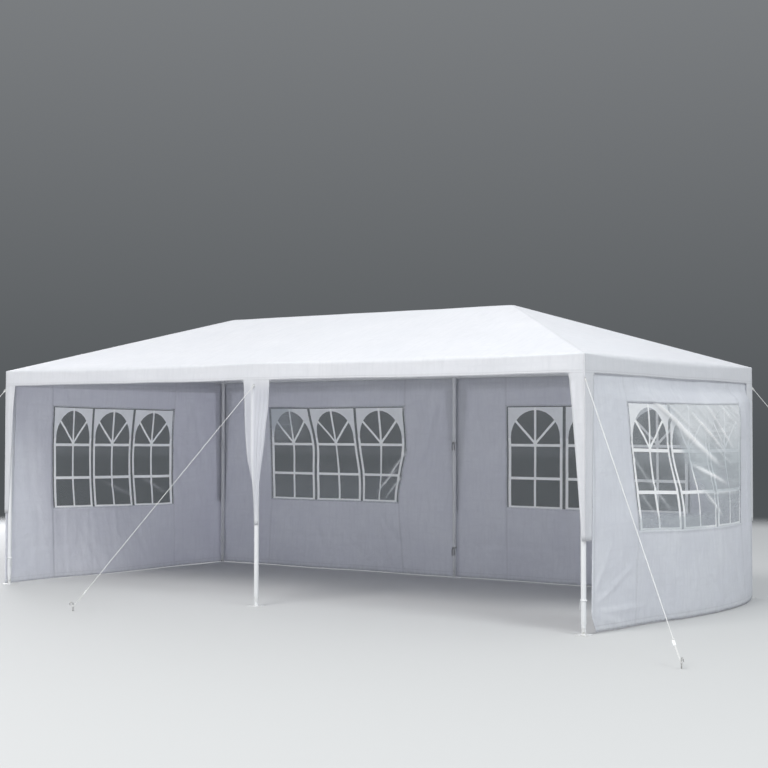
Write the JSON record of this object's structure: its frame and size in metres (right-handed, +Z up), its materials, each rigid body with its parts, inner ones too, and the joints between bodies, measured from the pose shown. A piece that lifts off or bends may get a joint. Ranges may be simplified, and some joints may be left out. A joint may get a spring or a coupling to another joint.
{
  "type": "marquee tent",
  "caption": "Rectangular marquee tent with a hip roof, open front, hung walls with clear arched windows, tube legs and taut guy ropes.",
  "frame": {"origin": "on the ground under the middle of the tent", "axes": "+X along the long side to the right seen from the open front, which faces -Y, +Z up"},
  "size_m": [8.3548, 5.1962, 2.463],
  "materials": {
    "tube_steel": "white powder coat, satin",
    "socket_steel": "white powder coat, satin",
    "cover_cloth": "white woven polyethylene sheet, slightly translucent",
    "wall_cloth": "white woven polyethylene sheet, slightly translucent",
    "clear_film": "clear soft plastic film with printed white bars",
    "guy_rope": "white braided cord",
    "stake_steel": "bright zinc"
  },
  "bodies": {
    "root": {"leg_front_left": "tube_steel", "leg_front_middle": "tube_steel", "leg_front_right": "tube_steel", "leg_back_left": "tube_steel", "leg_back_middle": "tube_steel", "leg_back_right": "tube_steel", "connector_front_left": "socket_steel", "connector_front_middle": "socket_steel", "connector_front_right": "socket_steel", "connector_back_left": "socket_steel", "connector_back_middle": "socket_steel", "connector_back_right": "socket_steel", "connector_ridge_left": "socket_steel", "connector_ridge_middle": "socket_steel", "connector_ridge_right": "socket_steel", "eave_rail_front_left": "tube_steel", "eave_rail_front_right": "tube_steel", "eave_rail_back_left": "tube_steel", "eave_rail_back_right": "tube_steel", "end_rail_left": "tube_steel", "end_rail_right": "tube_steel", "hip_rafter_front_left": "tube_steel", "hip_rafter_front_right": "tube_steel", "hip_rafter_back_left": "tube_steel", "hip_rafter_back_right": "tube_steel", "middle_rafter_front": "tube_steel", "middle_rafter_back": "tube_steel", "ridge_pole_left": "tube_steel", "ridge_pole_right": "tube_steel", "roof_panel_front": "cover_cloth", "roof_panel_back": "cover_cloth", "roof_panel_left": "cover_cloth", "roof_panel_right": "cover_cloth", "valance_front": "cover_cloth", "valance_back": "cover_cloth", "valance_left": "cover_cloth", "valance_right": "cover_cloth", "wall_end_left": "wall_cloth", "wall_end_right": "wall_cloth", "wall_back_left": "wall_cloth", "wall_back_right": "wall_cloth", "window_film_end_left": "clear_film", "window_film_end_right": "clear_film", "window_film_back_left": "clear_film", "window_film_back_right": "clear_film", "guy_rope_front_left": "guy_rope", "guy_rope_front_middle": "guy_rope", "guy_rope_front_right": "guy_rope", "guy_rope_back_left": "guy_rope", "guy_rope_back_middle": "guy_rope", "guy_rope_back_right": "guy_rope", "stake_front_left": "stake_steel", "stake_front_middle": "stake_steel", "stake_front_right": "stake_steel", "stake_back_left": "stake_steel", "stake_back_middle": "stake_steel", "stake_back_right": "stake_steel"}
  },
  "joints": []
}
